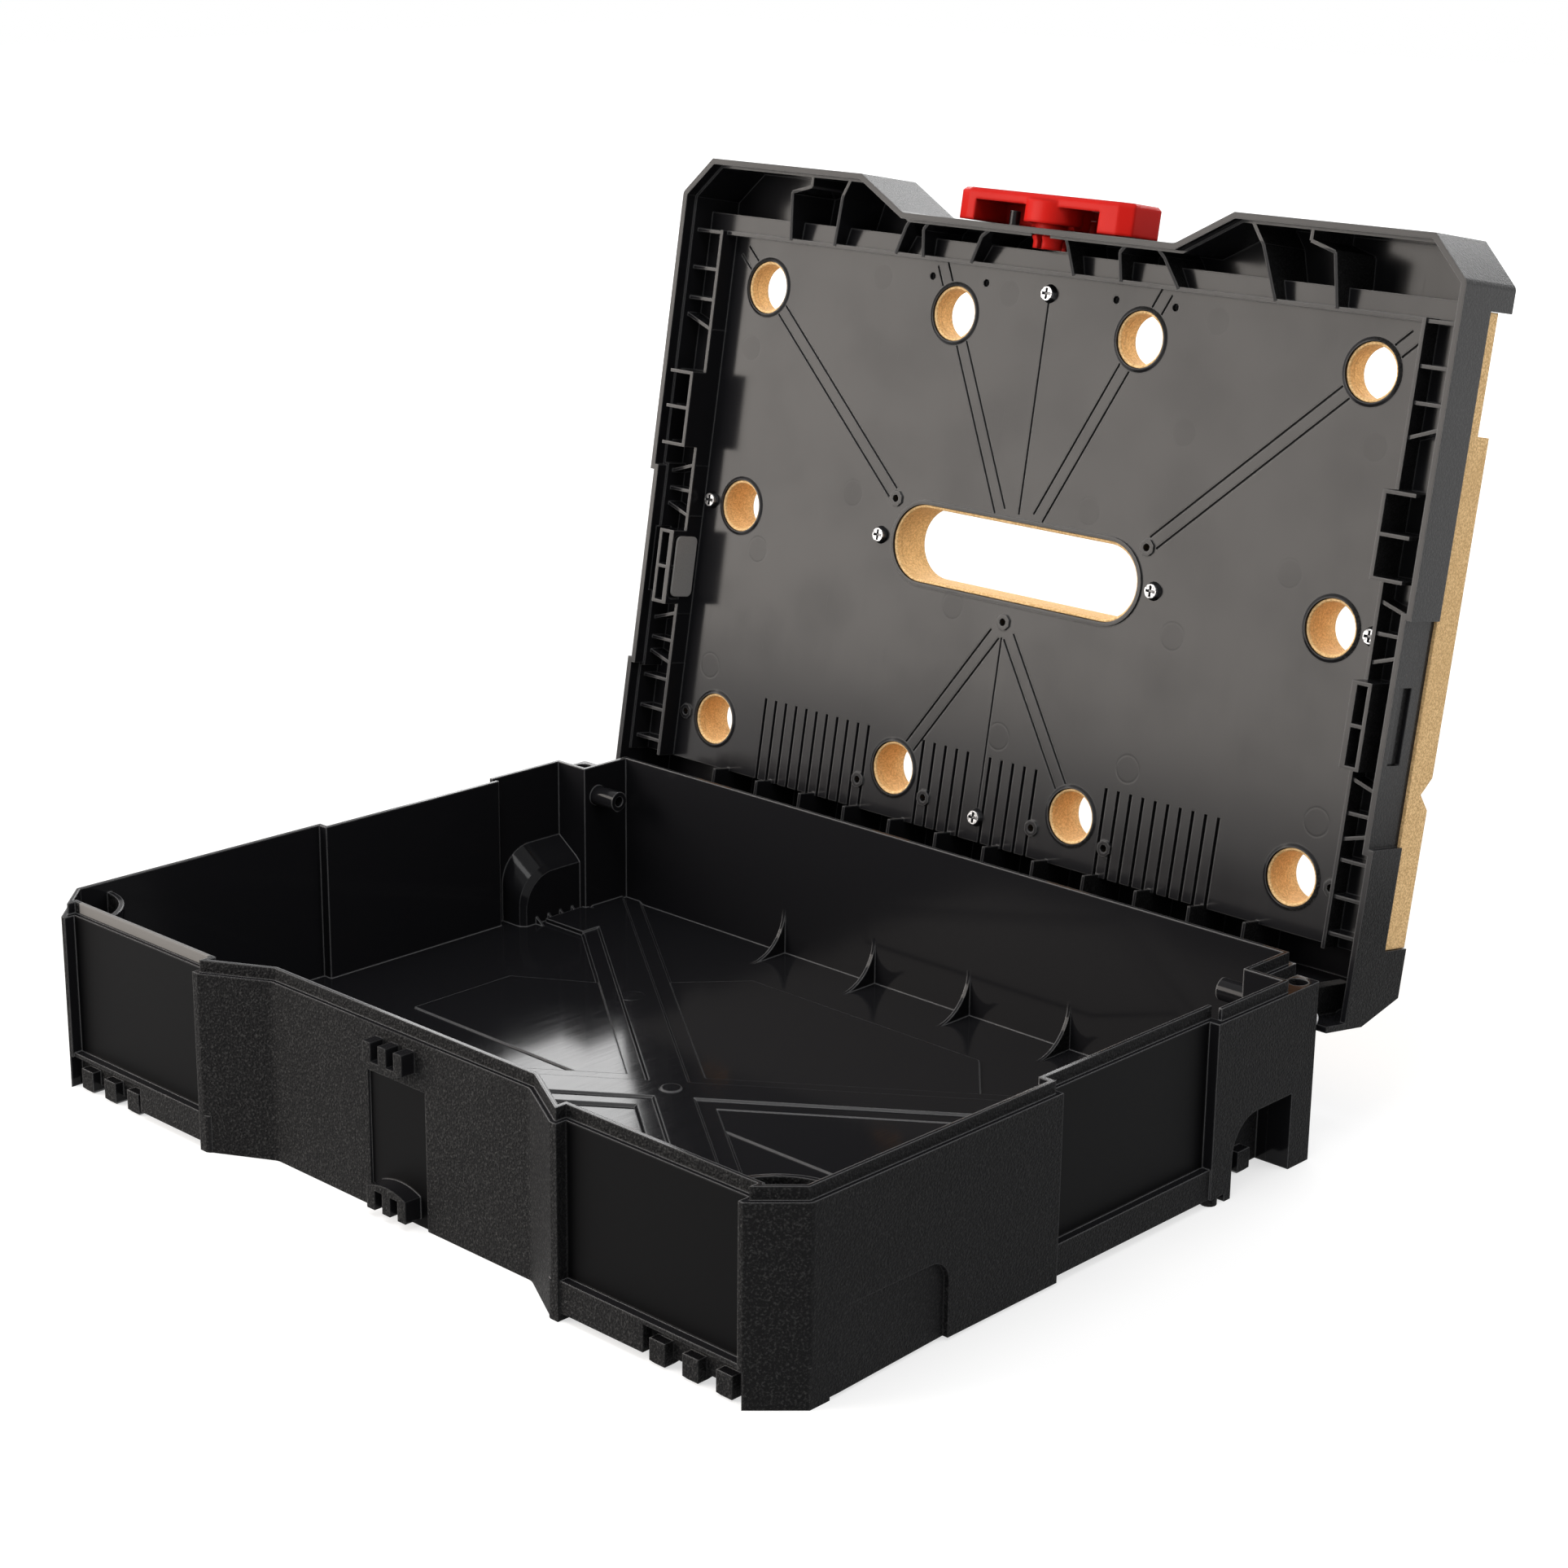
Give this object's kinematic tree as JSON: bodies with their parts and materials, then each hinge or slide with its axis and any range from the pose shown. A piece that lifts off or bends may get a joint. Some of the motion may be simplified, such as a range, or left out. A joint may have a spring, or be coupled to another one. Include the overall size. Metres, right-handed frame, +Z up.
{
  "type": "stackable tool case",
  "caption": "Flat stackable tool case with a hinged lid that carries a bored wooden worktop, and a turn latch in front.",
  "frame": {"origin": "on the floor under the middle of the case as it stands with its lid open", "axes": "+X along the front to the right, +Y from the front to the hinge side, +Z up"},
  "size_m": [0.396, 0.3944, 0.3336],
  "materials": {
    "base_black": "black moulded plastic, grained outside and smooth inside",
    "lid_black": "black moulded plastic, grained skirt and satin panel",
    "board_brown": "raw fibreboard with sawn edges",
    "latch_red": "red moulded plastic, fine satin",
    "screw_zinc": "bright zinc plating",
    "pin_steel": "plain steel rod"
  },
  "bodies": {
    "base": {"base_shell": "base_black", "hinge_pin_left": "pin_steel", "hinge_pin_right": "pin_steel"},
    "lid": {"lid_shell": "lid_black", "worktop_board": "board_brown", "board_screws": "screw_zinc"},
    "latch": {"turn_latch": "latch_red"}
  },
  "joints": [
    {"name": "lid_hinge", "type": "hinge", "parent": "base", "child": "lid", "pos_m": [0, 0.08839, 0.0538], "axis": [1, 0, 0], "range_deg": [0, 99.66]},
    {"name": "latch_turn", "type": "hinge", "parent": "lid", "child": "latch", "pos_m": [0, 0.16252, 0.3177], "axis": [0, -0.1678, -0.9858], "range_deg": [0, 180]}
  ]
}
